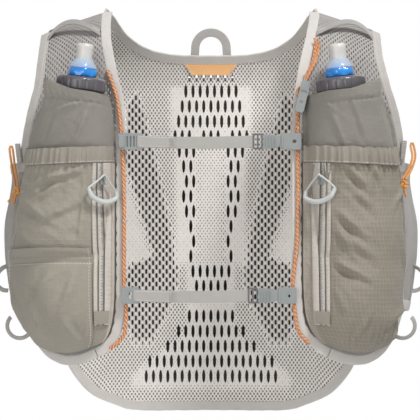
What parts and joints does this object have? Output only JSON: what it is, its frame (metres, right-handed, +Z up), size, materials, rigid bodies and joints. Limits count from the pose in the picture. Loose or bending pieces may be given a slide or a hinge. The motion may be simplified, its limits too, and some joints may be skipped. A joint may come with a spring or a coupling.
{
  "type": "running hydration vest",
  "caption": "Running hydration vest in its worn shape, with soft flasks in the chest pockets, bulging zipped pockets below, a knitted mesh back and chest straps",
  "frame": {"origin": "on the line of the shoulder seams, midway between the shoulders", "axes": "+Z up, the fronts face -Y, the viewer's right is +X"},
  "size_m": [0.4465, 0.2397, 0.4276],
  "materials": {
    "knit_mesh": "warm off-white knitted mesh",
    "pocket_cloth": "taupe ripstop and stretch knit",
    "lining_cloth": "dark plain cloth behind the knit",
    "binding_tape": "light grey folded tape",
    "webbing": "light grey woven webbing",
    "label_cloth": "plain orange cloth",
    "flecked_cord": "orange cord with pale flecks",
    "draw_cord": "light orange elastic cord",
    "grey_plastic": "light blue-grey moulded plastic",
    "cap_plastic": "dark glossy plastic",
    "lock_plastic": "bright blue plastic",
    "flask_film": "clear soft film",
    "valve_rubber": "milky soft silicone"
  },
  "bodies": {
    "root": {"back_panel": "knit_mesh", "front_base_left": "knit_mesh", "front_base_right": "knit_mesh", "side_mesh_left": "knit_mesh", "side_mesh_right": "knit_mesh", "flask_sleeve_left": "pocket_cloth", "flask_sleeve_right": "pocket_cloth", "pocket_cuff_left": "pocket_cloth", "pocket_cuff_right": "pocket_cloth", "zip_pocket_left": "pocket_cloth", "zip_pocket_right": "pocket_cloth", "stash_pocket_left": "pocket_cloth", "back_pocket": "lining_cloth", "neck_binding": "binding_tape", "edge_binding_left": "binding_tape", "edge_binding_right": "binding_tape", "armhole_binding_left": "binding_tape", "armhole_binding_right": "binding_tape", "hem_binding": "binding_tape", "zip_left": "binding_tape", "zip_right": "binding_tape", "chest_web_upper": "webbing", "chest_web_lower": "webbing", "shoulder_band_left": "webbing", "shoulder_band_right": "webbing", "hang_loop": "webbing", "side_loop_upper_left": "webbing", "side_loop_upper_right": "webbing", "side_loop_lower_left": "webbing", "side_loop_lower_right": "webbing", "drawcord_tab_left": "webbing", "drawcord_tab_right": "webbing", "neck_label": "label_cloth", "rail_cord_left": "flecked_cord", "rail_cord_right": "flecked_cord", "drawcord_left": "draw_cord", "drawcord_right": "draw_cord", "drawcord_knot_left": "draw_cord", "drawcord_knot_right": "draw_cord", "chest_hook_upper": "grey_plastic", "chest_slider_upper": "grey_plastic", "chest_buckle_upper": "grey_plastic", "chest_clip_upper": "grey_plastic", "chest_hook_lower": "grey_plastic", "chest_slider_lower": "grey_plastic", "chest_buckle_lower": "grey_plastic", "chest_clip_lower": "grey_plastic", "whistle": "grey_plastic", "zip_slider_left": "grey_plastic", "zip_slider_right": "grey_plastic", "zip_pull_left": "grey_plastic", "zip_pull_right": "grey_plastic", "flask_cap_left": "cap_plastic", "flask_cap_right": "cap_plastic", "flask_left": "flask_film", "flask_right": "flask_film"},
    "valve_left": {"valve_lock_left": "lock_plastic", "bite_valve_left": "valve_rubber"},
    "valve_right": {"valve_lock_right": "lock_plastic", "bite_valve_right": "valve_rubber"}
  },
  "joints": [
    {"name": "valve_turn_left", "type": "hinge", "parent": "root", "child": "valve_left", "pos_m": [-0.131, -0.10711, -0.087], "axis": [0.1045, 0, 0.9945], "range_deg": [0, 90]},
    {"name": "valve_turn_right", "type": "hinge", "parent": "root", "child": "valve_right", "pos_m": [0.131, -0.10711, -0.087], "axis": [-0.1045, 0, 0.9945], "range_deg": [0, 90]}
  ]
}
